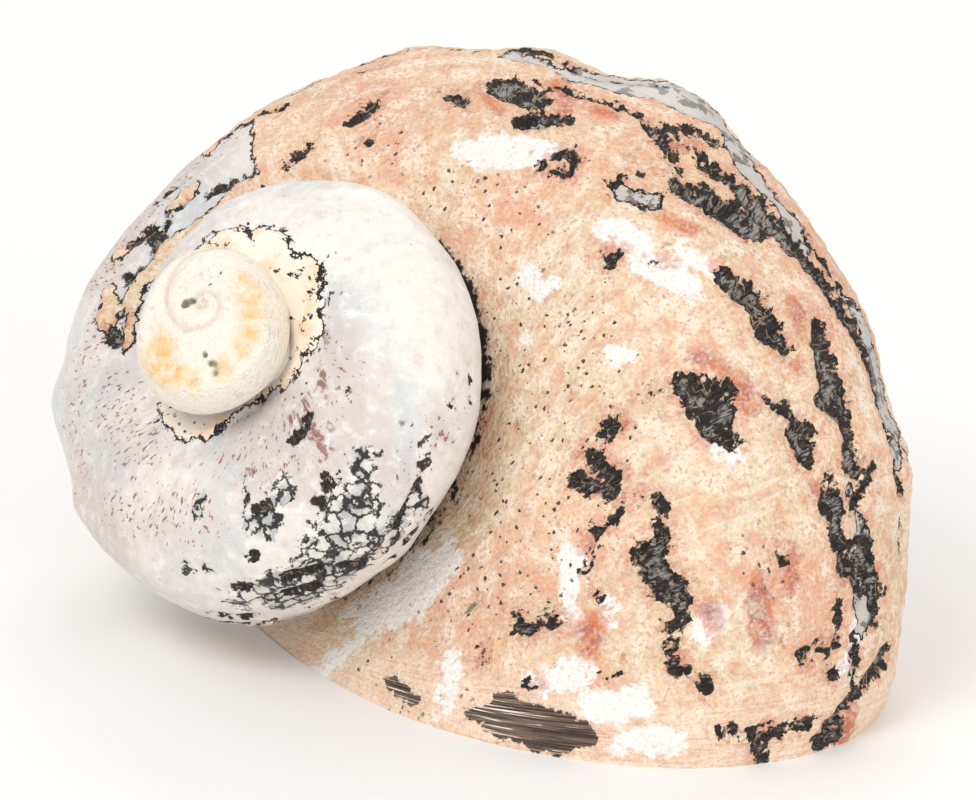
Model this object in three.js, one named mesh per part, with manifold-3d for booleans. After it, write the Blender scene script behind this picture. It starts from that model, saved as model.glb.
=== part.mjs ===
// Turban shell: the empty, sea-worn shell of a large turban snail, standing mouth down.
// One grown piece. A round tube coils to the right about an axis and widens as it goes,
// and each whorl wraps over the one before. Millimetres, +Z up, X along the longest extent.
import * as THREE from 'three';
import { mergeVertices } from 'three/addons/utils/BufferGeometryUtils.js';
import Module from 'manifold-3d';

const wasm = await Module();
wasm.setup();

// ---- driving dimensions: lengths per coil radius unless they end in mm ----
const coilRadiusMm = 29.5;        // from the coil axis to the tube's centre at the lip
const growthRate = 0.1658;        // widening of the tube per radian of coil
const growthGain = 0.0026;        // slow rise of that rate towards the lip
const earlyShrink = 0.48;        // the young whorls are smaller than the same law gives
const earlyTurn = -11.13;          // coil angle where that change is centred
const earlySpan = 1.6;            // and how many radians it takes
const translation = 2.0;         // drop of the tube's centre along the axis
const tubeWide = 0.9;           // half width of the tube section
const tubeDeep = 1.078;           // half depth of the tube section
const tubeTurn = -1.53;          // turn of the section in its own plane, radians
const boreRatio = 0.89;           // bore of the tube against its outside
const axisGap = 0.03;             // the wall stops this short of the coil axis
const lipGap = 0.34;              // and this short of it at the mouth, where it swings away
const lipGapTurn = 0.55;          // coil angle where half of that swing is done
const lipGapSpan = 0.35;          // and how many radians it takes
const innerWall = 0.11;           // wall left between that gap and the bore
const innerRound = 0.06;          // rounding of the inner wall's edges
const restDrop = 1.52;            // resting face below the apex
const upAxis = [-0.35, 0.725, 0.593];  // up, in the coil's own frame
const sideAxis = [0.568, 0.668, -0.48];       // +X, in the coil's own frame

// ---- where the tube starts, splits and ends, in radians of coil from the lip ----
const apexStart = -24;
const youngEnd = -11;
const boreStart = -4.6;
const mouthEnd = 1.4;
const boreOverrun = 0.1;          // the bore runs on past the tube's end
const lap = 0.12;                 // each older length runs on inside the next
const lapRatio = 0.998;           // and is this much smaller there

// ---- columella: the pillar along the coil axis, as radius and height pairs ----
const pillarProfile = [
  [0, -0.15],
  [0.16, -0.28],
  [0.215, -0.42],
  [0.22, -0.6],
  [0.13, -1.1],
  [0.13, -1.7],
  [0.1, -2.1],
  [0, -2.15],
];
const pillarSides = 20;

// ---- callus: shelly pads between the mouth and the older whorl, from the apex, standing ----
const baseCallus = { centre: [0.81, 1.06, -1.36], half: [0.62, 0.33, 0.46], turn: 0.6 };
const cornerCallus = { centre: [0.51, 0.76, -1.4], half: [0.26, 0.27, 0.24], turn: 0 };
const callusSides = 22;

// ---- facets ----
const tubeSides = 36;
const ringsPerTurn = 38;
const youngSides = 18;
const youngRingsPerTurn = 16;
const cutSize = 400;

const fullTurn = 2 * Math.PI;

// Size of the tube at a coil angle, against its size at the lip.
function tubeScale(angle) {
  const early = 0.5 * (1 - Math.tanh((angle - earlyTurn) / earlySpan));
  return Math.exp(growthRate * angle + growthGain * angle * angle - earlyShrink * early);
}

// Distance from the coil axis at which the tube's inner wall stops.
function wallGap(angle, ratio) {
  const swing = 0.5 * (1 + Math.tanh((angle - lipGapTurn) / lipGapSpan));
  return axisGap + (lipGap - axisGap) * swing + (ratio < 0.95 ? innerWall : 0);
}

// The larger of two numbers, with the change from one to the other rounded off.
function softMax(a, b) {
  return 0.5 * (a + b + Math.hypot(a - b, innerRound));
}

// Turns the coil's own frame, apex at the origin and axis along Z, into the standing pose.
function standingFrame() {
  const up = new THREE.Vector3(...upAxis).normalize();
  const side = new THREE.Vector3(...sideAxis);
  side.addScaledVector(up, -side.dot(up)).normalize();
  const back = up.clone().cross(side);
  return new THREE.Matrix4().makeBasis(side, back, up).transpose();
}
const standing = standingFrame();

// A point of the tube wall, from the coil angle, the turn about the tube and the bore ratio.
function tubePoint(angle, turn, ratio) {
  const wide = ratio * tubeWide * Math.cos(turn);
  const deep = ratio * tubeDeep * Math.sin(turn);
  const outward = wide * Math.cos(tubeTurn) - deep * Math.sin(tubeTurn);
  const axial = wide * Math.sin(tubeTurn) + deep * Math.cos(tubeTurn);
  const size = coilRadiusMm * tubeScale(angle);
  const radius = softMax(1 + outward, wallGap(angle, ratio)) * size;
  const height = (axial - translation) * size;
  return new THREE.Vector3(radius * Math.cos(angle), -radius * Math.sin(angle), height);
}

// A closed length of tube: rings of points, joined by quads, with a fan over each end.
function tubeLength(start, end, perTurn, sides, ratio) {
  const rings = Math.ceil(((end - start) / fullTurn) * perTurn);
  const positions = [];
  const index = [];
  for (let ring = 0; ring <= rings; ring += 1) {
    const angle = start + ((end - start) * ring) / rings;
    for (let side = 0; side < sides; side += 1) {
      positions.push(...tubePoint(angle, (fullTurn * side) / sides, ratio));
    }
  }
  const startCentre = positions.length / 3;
  positions.push(...tubePoint(start, 0, 0), ...tubePoint(end, 0, 0));
  for (let side = 0; side < sides; side += 1) {
    const next = (side + 1) % sides;
    for (let ring = 0; ring < rings; ring += 1) {
      const a = ring * sides + side;
      const b = ring * sides + next;
      index.push(a, b, a + sides, b, b + sides, a + sides);
    }
    index.push(startCentre, next, side);
    index.push(startCentre + 1, rings * sides + side, rings * sides + next);
  }
  const geometry = new THREE.BufferGeometry();
  geometry.setAttribute('position', new THREE.Float32BufferAttribute(positions, 3));
  geometry.setIndex(index);
  return geometry;
}

// The pillar: it fills the hollow under the young whorls and runs down inside the mouth.
function pillarGeometry() {
  const profile = pillarProfile.map(([radius, height]) => new THREE.Vector2(radius, height));
  const geometry = new THREE.LatheGeometry(profile.reverse(), pillarSides);
  return geometry.rotateX(Math.PI / 2).scale(coilRadiusMm, coilRadiusMm, coilRadiusMm);
}

function callusGeometry({ centre, half, turn }) {
  const geometry = new THREE.SphereGeometry(coilRadiusMm, callusSides, callusSides / 2);
  return geometry.scale(...half).rotateZ(turn).translate(...centre.map((part) => part * coilRadiusMm));
}

// A solid for joining and cutting, from any closed geometry.
function solid(geometry) {
  const bare = geometry.clone();
  bare.deleteAttribute('normal');
  bare.deleteAttribute('uv');
  const merged = mergeVertices(bare, 1e-4);
  return new wasm.Manifold(new wasm.Mesh({
    numProp: 3,
    vertProperties: merged.attributes.position.array,
    triVerts: Uint32Array.from(merged.index.array),
  }));
}

// Everything below the resting face, as one block to cut away.
function belowRest() {
  const block = new THREE.BoxGeometry(cutSize, cutSize, cutSize);
  return block.translate(0, 0, -restDrop * coilRadiusMm - cutSize / 2);
}

function standingTube(...lengths) {
  return solid(tubeLength(...lengths).applyMatrix4(standing));
}

function shellGeometry() {
  const young = standingTube(apexStart, youngEnd + lap, youngRingsPerTurn, youngSides, lapRatio ** 2);
  const middle = standingTube(youngEnd, boreStart + lap, ringsPerTurn, tubeSides, lapRatio);
  const last = standingTube(boreStart, mouthEnd, ringsPerTurn, tubeSides, 1);
  const bore = standingTube(boreStart + 0.2, mouthEnd + boreOverrun, ringsPerTurn, tubeSides, boreRatio);
  const pillar = solid(pillarGeometry().applyMatrix4(standing));
  const mouth = last.add(solid(callusGeometry(baseCallus))).subtract(bore);
  const whorls = mouth.add(middle).add(young).add(pillar).add(solid(callusGeometry(cornerCallus)));
  const shell = whorls.subtract(solid(belowRest()));
  const mesh = shell.getMesh();
  const geometry = new THREE.BufferGeometry();
  geometry.setAttribute('position', new THREE.Float32BufferAttribute(mesh.vertProperties, 3));
  geometry.setIndex(Array.from(mesh.triVerts));
  return geometry;
}

const shellMaterial = new THREE.MeshStandardMaterial({
  color: '#dcc3a8',
  roughness: 0.55,
  metalness: 0,
});

const shell = new THREE.Mesh(shellGeometry(), shellMaterial);
shell.name = 'shell';
shell.geometry.computeBoundingBox();
const box = shell.geometry.boundingBox;
shell.position.set(-(box.min.x + box.max.x) / 2, -(box.min.y + box.max.y) / 2, -box.min.z);

const turbanShell = new THREE.Group();
turbanShell.add(shell);

export default turbanShell;
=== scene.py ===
import math
import bpy
import numpy as np
from mathutils import Matrix, Vector


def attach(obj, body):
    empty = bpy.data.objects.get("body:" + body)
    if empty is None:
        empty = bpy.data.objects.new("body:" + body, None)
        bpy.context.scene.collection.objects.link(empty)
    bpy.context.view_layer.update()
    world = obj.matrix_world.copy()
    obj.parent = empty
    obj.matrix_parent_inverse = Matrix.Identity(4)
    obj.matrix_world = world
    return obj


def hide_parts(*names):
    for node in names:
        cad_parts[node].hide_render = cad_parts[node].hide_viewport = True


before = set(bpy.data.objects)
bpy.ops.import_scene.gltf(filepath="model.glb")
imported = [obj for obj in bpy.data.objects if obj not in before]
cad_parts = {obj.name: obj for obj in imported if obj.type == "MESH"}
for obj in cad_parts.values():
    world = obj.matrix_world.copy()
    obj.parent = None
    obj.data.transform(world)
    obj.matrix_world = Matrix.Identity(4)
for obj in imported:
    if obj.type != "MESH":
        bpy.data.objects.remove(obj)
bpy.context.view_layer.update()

print("stage: frame loaded")

# The coil: lengths per coil radius, angles in radians from the lip.
coil = {
    "radius": 29.5,            # millimetres, from the coil axis to the tube's centre at the lip
    "growthRate": 0.1658,
    "growthGain": 0.0026,
    "earlyShrink": 0.48,
    "earlyTurn": -11.13,
    "earlySpan": 1.6,
    "translation": 2.0,
    "tubeWide": 0.9,
    "tubeDeep": 1.078,
    "tubeTurn": -1.53,
    "boreRatio": 0.89,
    "axisGap": 0.03,
    "lipGap": 0.34,
    "lipGapTurn": 0.55,
    "lipGapSpan": 0.35,
    "innerWall": 0.11,
    "innerRound": 0.06,
    "restDrop": 1.52,
    "mouthStart": -0.9,
    "mouthEnd": 1.4,
    "outerReach": 1.9,         # from the coil axis to the tube's outermost side
    "upAxis": (-0.35, 0.725, 0.593),
    "sideAxis": (0.568, 0.668, -0.48),
}

meshing = {
    "columns": 204,            # points around the tube
    "rowStep": 0.82,           # millimetres between rows along the outside
    "youngStep": 0.045,        # radians between rows on the smallest whorls
    "start": -23.0,
    "boreStart": -4.2,
    "boreRows": 84,
    "boreColumns": 90,
    "rimRows": 6,
    "lipFollow": (-5.0, -0.4), # radians over which the rows turn to follow the lip
    "boreFollow": (-3.5, -0.3),
    "closedBefore": -1.6,      # radians; shell older than this hides the whorl it wraps
    "buried": 1.2,             # millimetres inside an older whorl at which faces are left out
}


# How large the tube is at a coil angle, as a share of its size at the lip.
def tubeScale(angle):
    early = 0.5 * (1 - np.tanh((angle - coil["earlyTurn"]) / coil["earlySpan"]))
    power = coil["growthRate"] * angle + coil["growthGain"] * angle ** 2
    return np.exp(power - coil["earlyShrink"] * early)


# The row's axes, measured along the coil's own.
def standingFrame():
    up = Vector(coil["upAxis"]).normalized()
    side = Vector(coil["sideAxis"])
    side = (side - up * side.dot(up)).normalized()
    return np.array([side, up.cross(side), up])


standing = standingFrame()
apexPlace = np.array([-29.90, -22.35, 44.84])   # the apex, in millimetres in the row's frame


# The tube's oval section: distance outward from its centre, and along the coil's axis.
def sectionPoint(turn, ratio):
    wide = ratio * coil["tubeWide"] * np.cos(turn)
    deep = ratio * coil["tubeDeep"] * np.sin(turn)
    outward = wide * math.cos(coil["tubeTurn"]) - deep * math.sin(coil["tubeTurn"])
    axial = wide * math.sin(coil["tubeTurn"]) + deep * math.cos(coil["tubeTurn"])
    return outward, axial


# How far the tube keeps off the coil's axis, which widens at the lip.
def wallGap(angle, ratio):
    swing = 0.5 * (1 + np.tanh((angle - coil["lipGapTurn"]) / coil["lipGapSpan"]))
    gap = coil["axisGap"] + (coil["lipGap"] - coil["axisGap"]) * swing
    return gap + (coil["innerWall"] if ratio < 0.95 else 0)


# The tube's wall in millimetres, in the standing pose but measured from the apex.
def tubePoint(angle, turn, ratio=1.0):
    outward, axial = sectionPoint(turn, ratio)
    size = coil["radius"] * tubeScale(angle)
    gap = wallGap(angle, ratio)
    radius = 0.5 * (1 + outward + gap + np.hypot(1 + outward - gap, coil["innerRound"])) * size
    height = (axial - coil["translation"]) * size
    points = np.stack([radius * np.cos(angle), -radius * np.sin(angle), height], -1)
    return points @ standing.T, radius


# Height above the resting face at which the tube is, negative below it.
def restHeight(angle, turn, ratio):
    return tubePoint(angle, turn, ratio)[0][..., 2] + coil["restDrop"] * coil["radius"]


# The coil angle at which each side of the tube comes down to the resting face.
def lipAngles(turn, ratio):
    angles = np.linspace(coil["mouthStart"], coil["mouthEnd"], 400)
    heights = restHeight(angles[:, None], turn[None, :], ratio)
    below = heights < 0
    first = np.where(below.any(0), below.argmax(0), len(angles) - 1)
    low = np.maximum(first - 1, 0)
    columns = np.arange(len(turn))
    top, bottom = heights[low, columns], heights[first, columns]
    share = np.clip(top / np.where(top == bottom, 1, top - bottom), 0, 1)
    return angles[low] + (angles[first] - angles[low]) * share


# How far a point of one whorl stands off the whorl that is a number of turns older.
def clearOfWhorl(angle, turn, turnsBack):
    outward, axial = sectionPoint(turn, 1.0)
    older = angle - 2 * math.pi * turnsBack
    scale = tubeScale(angle) / tubeScale(older)
    across = (1 + outward) * scale - 1
    along = (axial - coil["translation"]) * scale + coil["translation"]
    tilt = coil["tubeTurn"]
    wide = (across * math.cos(tilt) + along * math.sin(tilt)) / coil["tubeWide"]
    deep = (along * math.cos(tilt) - across * math.sin(tilt)) / coil["tubeDeep"]
    return (np.hypot(wide, deep) - 1) * tubeScale(older) * coil["radius"]


# Smooth noise from minus one to one, on a lattice of the given cell in millimetres.
def cellNoise(points, cell, seed):
    grid = points / cell + seed * 17.31
    base = np.floor(grid).astype(np.int64)
    part = grid - base
    part = part * part * (3 - 2 * part)
    total = np.zeros(points.shape[:-1])
    for corner in range(8):
        step = np.array([corner & 1, corner >> 1 & 1, corner >> 2 & 1])
        key = (base + step) @ np.array([73856093, 19349663, 83492791]) + seed * 7919
        key = (key ^ (key >> 13)) * 1274126177 & 0x7FFFFFFF
        value = ((key ^ (key >> 16)) & 0xFFFF) / 32767.5 - 1
        weight = np.prod(np.where(step == 1, part, 1 - part), axis=-1)
        total += value * weight
    return total


# Where the shell is chipped, worn and crusted. Each mark runs between two places on the surface
# and has a half width in millimetres. A place is degrees of coil from the lip, then degrees
# around the tube.
marks = {
    "chips": [
        ((-139, 118), (-134, 116), 0.9), ((-116, 147), (-112, 149), 0.8), ((-115, 149), (-114, 144), 0.4),
        ((-36, 112), (-30, 106), 0.9), ((-31, 102), (-26, 98), 0.8), ((-28, 94), (-24, 88), 0.7),
        ((-24, 104), (-20, 102), 0.5), ((-34, 100), (-30, 94), 0.6), ((-22, 97), (-19, 92), 0.5),
        ((-40, 98), (-34, 104), 0.5), ((-20, 108), (-17, 100), 0.35), ((-336, 70), (-318, 66), 0.7),
        ((-306, 78), (-298, 88), 0.6), ((-352, 74), (-344, 70), 0.5), ((-395, 90), (-388, 86), 0.4),
        ((-74, 115), (-66, 110), 1.6), ((-66, 109), (-58, 99), 1.2), ((-57, 97), (-50, 87), 1.0),
        ((-86, 118), (-82, 112), 0.8), ((-79, 121), (-76, 116), 1.0), ((-63, 100), (-60, 104), 0.7),
        ((-116, 113), (-104, 116), 0.45), ((-103, 116), (-96, 104), 0.4), ((-107, 134), (-99, 130), 0.5),
        ((-99, 130), (-89, 124), 0.45), ((-88, 124), (-78, 118), 0.6), ((-68, 100), (-60, 92), 0.9),
        ((-60, 98), (-50, 88), 0.7), ((-50, 90), (-40, 84), 0.6), ((-156, 124), (-150, 126), 0.5),
        ((-172, 128), (-164, 132), 0.4), ((-182, 136), (-176, 140), 0.5), ((-128, 112), (-122, 116), 0.5),
        ((-109, 138), (-104, 139), 2.1), ((-99, 144), (-100, 149), 1.0), ((-95, 141), (-97, 143), 0.9),
        ((-89, 158), (-89, 148), 0.5), ((-84.5, 156), (-87, 149), 0.6),
        ((-79.5, 147), (-80, 136), 0.35), ((-88, 126), (-78, 129), 0.7),
        ((-76, 133), (-70, 126), 1.2), ((-73, 127), (-68, 120), 1.9), ((-70, 120), (-67, 108), 1.5),
        ((-66, 158), (-66, 157), 0.8), ((-64.5, 158), (-64.5, 156), 0.35), ((-62.5, 149), (-62.5, 147), 0.3),
        ((-59.5, 133), (-57, 131), 1.3), ((-57, 128), (-52, 126), 1.6), ((-53, 125), (-51, 123), 1.3),
        ((-54, 110), (-46, 110), 1.6), ((-47, 106), (-40, 106), 1.1), ((-39, 106), (-38.5, 103), 1.2),
        ((-43, 128), (-41, 118), 0.7), ((-40.5, 121), (-38, 119), 1.5), ((-45, 113), (-44, 108), 1.2),
        ((-42.5, 149), (-43, 138), 1.0), ((-40.5, 146), (-37, 142), 1.6), ((-40, 139), (-36, 138), 1.2),
        ((-41.5, 156), (-40.5, 155), 0.5), ((-34.5, 163), (-32.5, 165), 0.8),
        ((-27, 166), (-25.5, 161), 1.0), ((-23, 169), (-23.5, 162), 1.0), ((-29, 168), (-27, 166), 0.5),
        ((-22.5, 160), (-23.5, 156), 0.45), ((-20, 159), (-17, 162), 0.5), ((-16, 163), (-11, 161), 0.6),
        ((-25, 152), (-24, 150), 0.9), ((-22, 149), (-19, 148), 0.9), ((-17, 150), (-15, 144), 1.7),
        ((-16, 141), (-13, 139), 1.1), ((-3, 164), (-2, 162), 0.55), ((-9, 157), (-8.5, 154), 0.4),
        ((3, 168), (2, 165), 0.9), ((-0.5, 164), (-2, 160), 0.5), ((7.5, 158), (7, 157), 0.6),
        ((11.5, 170), (11, 168), 0.5), ((-1, 147.5), (-1, 147), 0.3), ((-3, 144.5), (-3, 144), 0.35),
        ((-6, 121), (-9, 110), 0.55), ((-9, 110), (-13, 98), 0.6), ((-8, 112), (-6.5, 108), 1.1),
        ((-13, 94), (-17, 91), 1.0), ((-17, 90), (-24, 80), 0.6), ((-11, 96), (-13, 90), 0.9),
        ((-17.5, 111), (-17.5, 108), 0.7), ((-17.5, 102), (-18, 99), 0.5), ((-23, 105), (-22.5, 103), 0.6),
        ((-11.5, 141), (-11, 140), 0.6), ((-9.5, 138), (-8, 134), 1.0), ((-8.5, 131), (-8.5, 127), 0.55),
        ((-33, 112), (-28, 104), 1.3), ((-31, 98), (-27, 92), 1.5), ((-25.5, 123), (-24.5, 121), 0.6),
        ((-132, 158), (-130, 153), 1.0), ((-126, 167), (-126, 166), 0.4), ((-147, 169), (-142, 165), 0.55),
        ((-137, 130), (-134, 128), 0.7), ((-171, 160), (-161, 165), 0.6), ((-192, 146), (-187, 150), 0.9),
        ((-190, 157), (-184, 154), 0.9), ((-196, 160), (-186, 158), 0.6), ((-201, 157), (-197, 158), 0.7),
        ((-219, 164), (-217, 159), 1.1), ((-212, 149), (-210, 151), 0.4), ((-155, 136), (-151, 140), 0.6),
        ((-330, 103), (-322, 108), 0.9), ((-326, 92), (-318, 96), 0.8), ((-342, 88), (-335, 96), 0.8),
        ((-312, 107), (-309, 108), 0.9), ((-345, 141), (-341, 136), 0.7), ((-322, 146), (-322, 145), 0.8),
        ((-364, 99), (-352, 92), 0.7), ((-300, 133), (-303, 120), 0.25), ((-316, 160), (-318, 146), 0.22),
        ((-349, 172), (-341, 168), 0.7), ((-317, 128), (-316, 126), 0.5), ((-370, 162), (-369, 160), 0.3),
        ((-388, 108), (-388, 107), 0.3), ((-384, 106), (-384, 105), 0.3), ((-340, 92), (-344, 84), 0.7),
        ((-120, 60), (-108, 66), 1.4), ((-86, 50), (-80, 62), 1.2), ((-150, 84), (-138, 92), 1.3),
        ((-60, 40), (-52, 48), 1.5), ((-40, 62), (-30, 56), 1.1), ((-178, 96), (-166, 90), 1.0),
        ((-200, 60), (-190, 70), 1.4), ((-132, 20), (-124, 30), 1.0), ((-95, 84), (-88, 80), 1.0),
        ((-20, 30), (-10, 36), 1.0), ((-160, 40), (-152, 30), 1.2), ((-230, 100), (-222, 108), 0.8),
    ],
    # bluish-grey pearl left bare between crust and chips
    "pearl": [
        ((-30, 100), (-24, 94), 1.2), ((-156, 122), (-148, 126), 1.0), ((-36, 106), (-32, 98), 1.0),
        ((-116, 118), (-104, 122), 1.2), ((-104, 118), (-92, 105), 3.2), ((-93, 105), (-84, 101), 3.4),
        ((-82, 108), (-66, 104), 1.5), ((-62, 94), (-44, 76), 1.3), ((-44, 84), (-34, 80), 0.8),
        ((-99, 146), (-98, 147), 0.6), ((-77, 147), (-75, 141), 1.2),
        ((-72, 128), (-71, 122), 0.6), ((-57, 127), (-54, 124), 0.9), ((-43, 146), (-42, 142), 0.8),
        ((-16, 147), (-16, 145), 0.6), ((-19, 150), (-20, 149), 0.4),
        ((-130, 90), (-122, 96), 1.6), ((-146, 70), (-138, 58), 2.4), ((-66, 62), (-60, 68), 1.4),
    ],
    # salmon crust left on the pearly part of the last whorl
    "islands": [
        ((-222, 170), (-198, 164), 1.0), ((-196, 168), (-158, 172), 1.5), ((-180, 150), (-174, 153), 0.9),
        ((-206, 150), (-214, 158), 1.2), ((-168, 135), (-158, 132), 1.2), ((-196, 143), (-192, 147), 1.0),
        ((-300, 60), (-285, 50), 2.0), ((-230, 40), (-222, 52), 2.4), ((-200, 80), (-194, 92), 2.0),
        ((-214, 96), (-206, 90), 1.2), ((-186, 60), (-180, 48), 3.0), ((-250, 84), (-246, 80), 1.0),
    ],
    # chalky white spots on the crust
    "chalk": [
        ((-102, 162), (-92, 156), 2.2), ((-69, 177), (-63, 174), 1.2), ((-70, 153), (-66, 149), 1.6),
        ((-63, 150), (-58, 143), 1.8), ((-66, 141), (-60, 137), 1.2), ((10, 189), (34, 194), 2.8),
        ((20, 196), (30, 192), 2.0), ((34, 196), (44, 196), 1.2), ((-11, 164), (-4, 160), 1.2),
        ((0, 150), (6, 158), 1.4), ((2, 146), (-2, 138), 1.4), ((-13, 134), (-16, 131), 1.2),
        ((3, 137), (-2, 128), 1.2), ((17, 172), (21, 167), 1.4), ((40, 188), (50, 186), 1.0),
        ((-36, 141), (-34, 136), 1.3), ((-26, 96), (-18, 97), 1.3), ((-47, 163), (-47, 161), 0.9),
        ((-52, 183), (-54, 182), 0.5), ((-57, 161), (-55, 160), 0.4), ((-9, 153), (-8, 150), 0.9),
        ((-112, 88), (-106, 82), 1.2), ((-132, 60), (-128, 68), 1.8), ((-70, 50), (-66, 58), 1.5),
    ],
    # rust and madder stains beside the chips
    "rust": [
        ((-110, 144), (-106, 148), 0.8), ((-103, 130), (-97, 138), 1.1), ((-95, 133), (-92, 130), 0.6),
        ((-83, 125), (-82, 119), 1.2), ((-70, 142), (-68, 136), 1.0), ((-79, 150), (-76, 152), 0.5),
        ((-47, 144), (-44, 134), 1.0), ((-44, 136), (-41, 134), 0.9), ((-36, 118), (-34, 116), 0.8),
        ((-27, 120), (-23, 119), 1.0), ((-21, 126), (-17, 122), 1.5), ((-16, 134), (-15, 132), 1.2),
        ((-34, 161), (-36, 161), 0.4), ((-5, 154), (-3, 152), 1.2), ((-50, 128), (-48, 120), 0.6),
        ((-129, 149), (-127, 147), 0.6), ((-213, 163), (-209, 165), 0.8), ((-14, 87), (-15, 88), 0.6),
        ((-57, 117), (-52, 118), 0.6), ((-74, 113), (-71, 112), 0.7), ((-28, 170), (-28, 168), 0.3),
        ((-356, 158), (-346, 152), 0.8), ((-350, 166), (-347, 163), 0.6), ((-362, 172), (-358, 168), 0.5),
        ((-372, 182), (-366, 178), 0.4), ((-324, 166), (-318, 162), 0.5), ((-343, 180), (-336, 176), 0.9),
        ((-352, 178), (-345, 174), 0.7), ((-400, 190), (-385, 186), 0.6),
    ],
    # bare lamellae, brown as wood
    "lamellae": [
        ((17, 163), (11, 154), 0.7), ((13, 158), (8, 148), 2.1), ((9, 150), (5, 143), 1.2),
        ((30, 178), (25, 171), 0.6),
    ],
    # where pinholes are crowded
    "pinholes": [
        ((-52, 180), (-2, 178), 6.5), ((-10, 168), (14, 180), 3.5), ((-25, 165), (-10, 170), 5.0),
        ((20, 185), (35, 182), 2.0), ((-75, 175), (-55, 185), 3.5), ((-24, 130), (-22, 124), 2.5),
        ((-120, 170), (-128, 168), 3.0),
        ((-100, 175), (-75, 172), 3.5), ((-60, 165), (-30, 160), 2.5), ((15, 165), (45, 178), 1.0),
        ((-150, 60), (-80, 60), 5.0), ((-440, 182), (-330, 194), 2.0),
        ((-300, 200), (-270, 190), 2.5),
    ],
    # rusty flecks thick on the pearl
    "specks": [
        ((-330, 178), (-300, 172), 2.5), ((-345, 165), (-318, 160), 2.5), ((-268, 165), (-240, 160), 4.0),
        ((-380, 172), (-360, 165), 2.0), ((-300, 150), (-270, 140), 3.5), ((-250, 130), (-215, 150), 3.0),
        ((-360, 110), (-380, 100), 2.0), ((-165, 130), (-200, 135), 5.0),
        ((-310, 176), (-306, 174), 0.9), ((-340, 172), (-334, 170), 1.1),
    ],
    # drill holes and small pits
    "pits": [
        ((-372, 128), (-372, 127), 0.35), ((-393, 104), (-393, 103), 0.28), ((-386, 103), (-386, 102), 0.22),
        ((-326, 158), (-325, 157), 0.2), ((8, 178), (10, 178), 0.35), ((27, 172), (28, 172), 0.35),
    ],
    # crowded flakes with dark edges
    "flakes": [
        ((-346, 122), (-326, 100), 3.4), ((-352, 90), (-316, 88), 2.4), ((-356, 134), (-350, 126), 1.6),
        ((-330, 150), (-322, 140), 1.6), ((-318, 108), (-308, 100), 2.0), ((-300, 154), (-299, 150), 0.5),
        ((-296, 122), (-298, 128), 0.8), ((-372, 110), (-366, 100), 0.6),
    ],
}

# Where the cream collar round the apex ends: degrees of coil, then degrees around the tube.
collarEdge = [(-560, 176), (-530, 168), (-505, 172), (-474, 175), (-460, 184), (-437, 182), (-417, 185),
              (-397, 189), (-369, 197), (-345, 200), (-322, 207), (-303, 197), (-290, 181), (-280, 178),
              (-266, 178), (-254, 178), (-246, 192), (-225, 210)]

# Painted shade in the suture crevice, with some dark growth: degrees of coil, then its reach from the older
# whorl in millimetres.
sutureShadeAndDirtReach = [(-400, 0.3), (-160, 1.0), (-130, 1.8), (-95, 2.3), (-65, 2.05), (-37, 1.85), (-19, 2.0), (0, 2.45),
           (22, 3.0), (52, 4.0)]

# How the shell has worn: degrees of coil, or around the tube where it says so.
wear = {
    "bareBefore": -158,        # the shell older than this has lost its crust
    "frontMiddle": 150,        # around the tube, where that edge is cleanest
    "collarSpan": (-575, -222),
    "backAround": (105, 75),   # around the tube, where marks grow rougher towards the back
    "greySpan": (-150, -125),
    "spotGap": 9.0,            # millimetres from a mark, where there is none
}


# Signed distance in millimetres from a list of marks, negative inside.
def markDistance(degrees, around, perRadian, perTurn, pieces):
    nearest = np.full(degrees.shape, 30.0)
    for (startAlong, startAround), (endAlong, endAround), halfWidth in pieces:
        close = np.abs(degrees - 0.5 * (startAlong + endAlong)) < 60
        x = np.radians(degrees[close] - startAlong) * perRadian[close]
        y = np.radians(around[close] - startAround) * perTurn[close]
        dx = np.radians(endAlong - startAlong) * perRadian[close]
        dy = np.radians(endAround - startAround) * perTurn[close]
        share = np.clip((x * dx + y * dy) / (dx * dx + dy * dy + 1e-6), 0, 1)
        gap = np.hypot(x - share * dx, y - share * dy) - halfWidth
        nearest[close] = np.minimum(nearest[close], gap)
    return nearest


# Knobs and humps: degrees of coil, degrees around the tube, radius and height in millimetres.
swells = [
    (-133, 112, 4.0, 0.8), (-115, 106, 4.5, 0.9), (-95, 99, 5.0, 1.7), (-84, 108, 4.0, 0.8),
    (-70, 108, 4.0, 0.6), (-45, 74, 4.5, 1.0), (-58, 90, 3.5, 0.5), (-20, 78, 4.5, 0.5),
    (-368, 130, 3.4, 0.8), (-388, 118, 3.0, 0.6), (-345, 150, 3.0, 0.7), (-330, 135, 2.8, 0.6),
    (-300, 140, 3.6, 1.1), (-285, 115, 3.2, 1.1), (-270, 140, 3.2, 1.0), (-255, 118, 3.0, 1.0),
    (-238, 140, 3.2, 0.8), (-410, 130, 3.0, 0.5), (-228, 120, 3.5, 0.8), (-205, 125, 4.0, 0.6),
    (-316, 125, 2.6, 0.6), (-292, 165, 2.6, 0.5), (-262, 158, 2.8, 0.5), (-355, 165, 2.4, 0.5),
]


# Height of the knobs and humps at each point.
def swellHeight(degrees, around, perRadian, perTurn):
    total = np.zeros(degrees.shape)
    for along, aroundTube, radius, rise in swells:
        away = np.hypot(np.radians(degrees - along) * perRadian, np.radians(around - aroundTube) * perTurn)
        total += rise * np.exp(-(away / radius) ** 2)
    return total


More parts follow.
